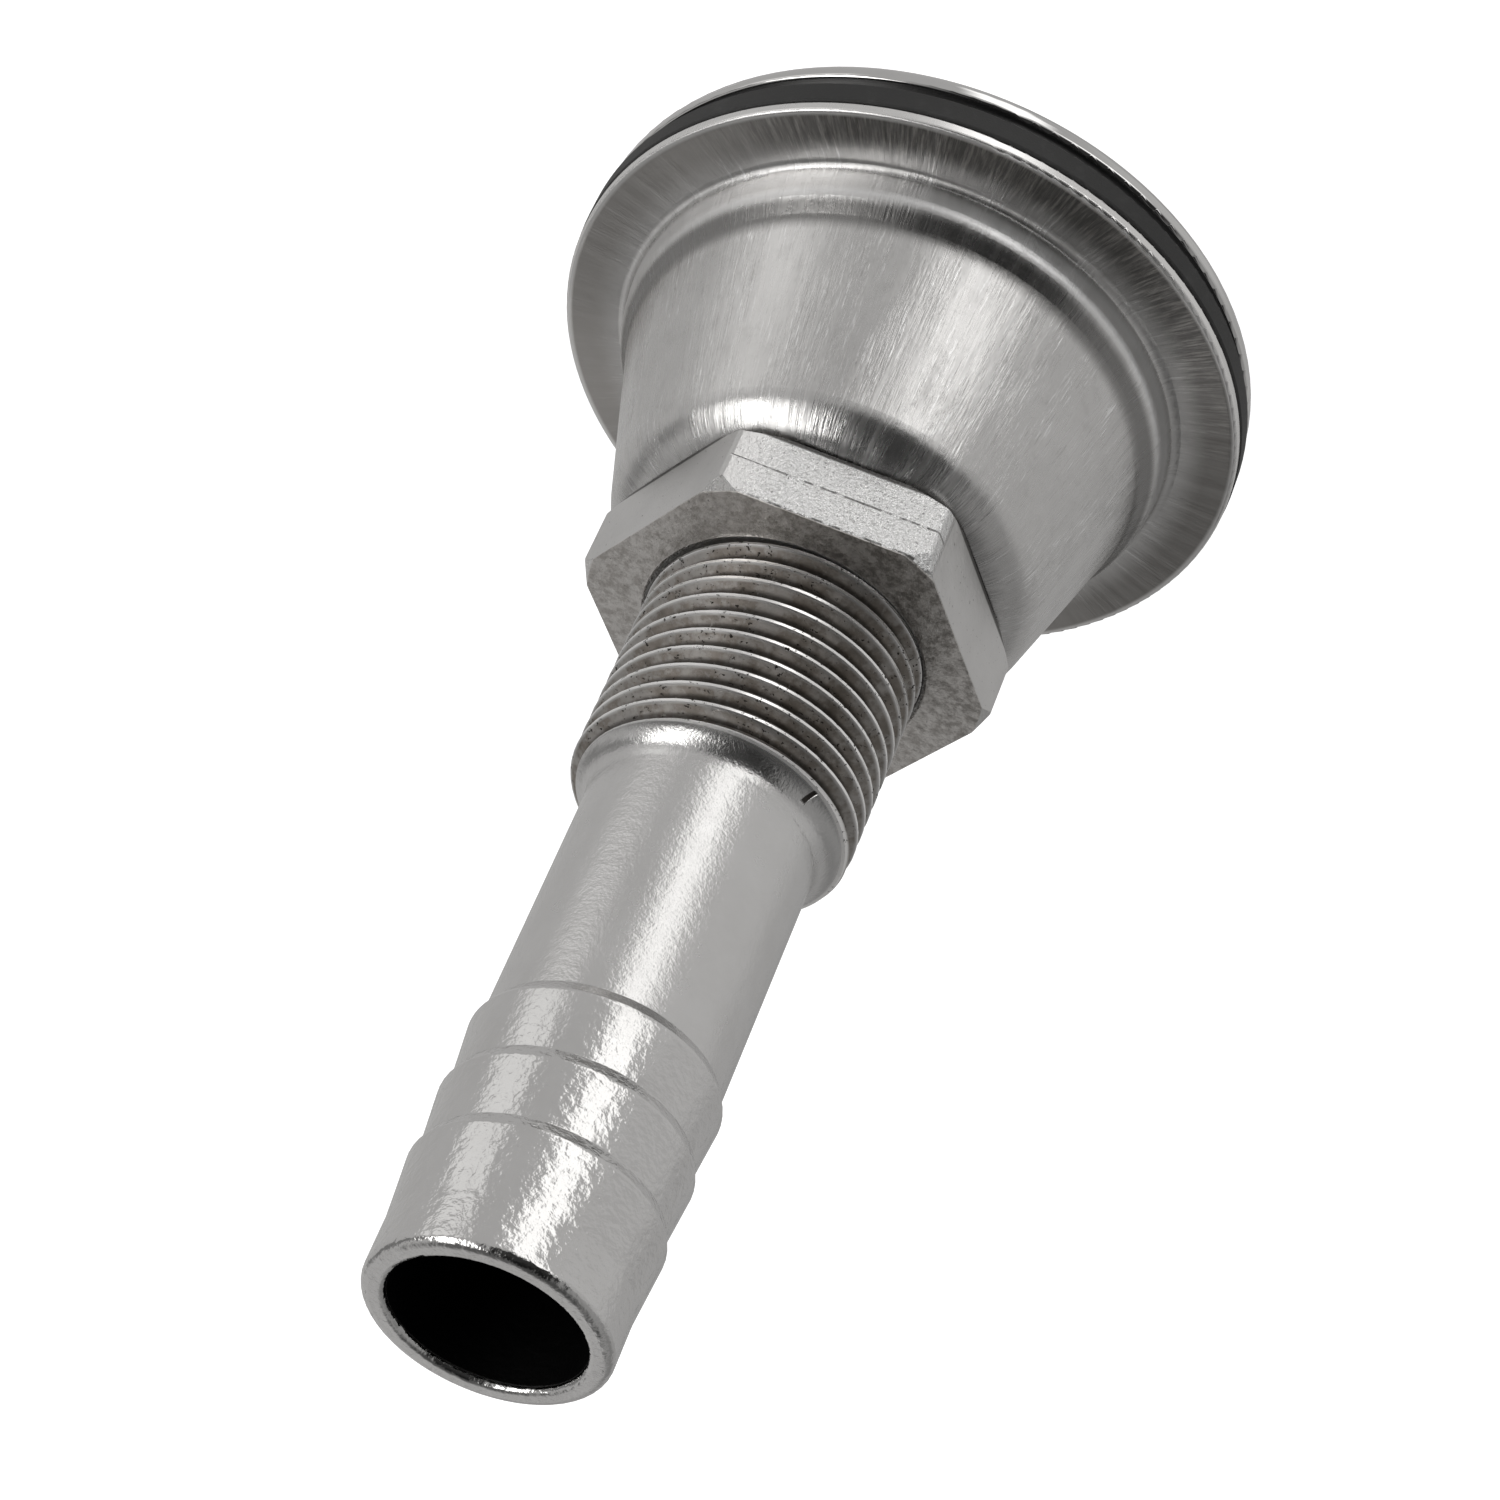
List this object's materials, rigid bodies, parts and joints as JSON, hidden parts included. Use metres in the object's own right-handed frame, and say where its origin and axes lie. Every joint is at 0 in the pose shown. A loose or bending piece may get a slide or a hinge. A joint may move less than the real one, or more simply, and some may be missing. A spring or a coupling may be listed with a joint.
{
  "type": "thru hull fitting",
  "caption": "Flanged through-hull outlet with threaded barrel, barbed hose tail, rubber gasket, spun bell washer and hex nut.",
  "frame": {"origin": "centre of the flange's outer face, on the waterway's axis", "axes": "+Z along the waterway from the flange to the hose tail; X and Y are square to it, with no feature of the body singled out"},
  "size_m": [0.0616, 0.0616, 0.112],
  "materials": {
    "cast_steel": "satin investment casting, flange edge mirror polished",
    "rubber": "matte black",
    "spun_steel": "spun sheet with fine scratches up the cone",
    "nut_steel": "grainy cast"
  },
  "bodies": {
    "root": {"fitting_body": "cast_steel", "gasket": "rubber"},
    "washer": {"bell_washer": "spun_steel"},
    "nut": {"hex_nut": "nut_steel"}
  },
  "joints": [
    {"name": "washer_slide", "type": "slide", "parent": "root", "child": "washer", "axis": [0, 0, 1], "range_m": [0, 0.018]},
    {"name": "nut_spin", "type": "hinge", "parent": "washer", "child": "nut", "pos_m": [0, 0, 0.0374], "axis": [0, 0, 1], "range_deg": [0, 3240]}
  ],
  "couplings": [
    {"joint": "washer_slide", "follows": "nut_spin", "m_per_rad": 0.00031831}
  ]
}
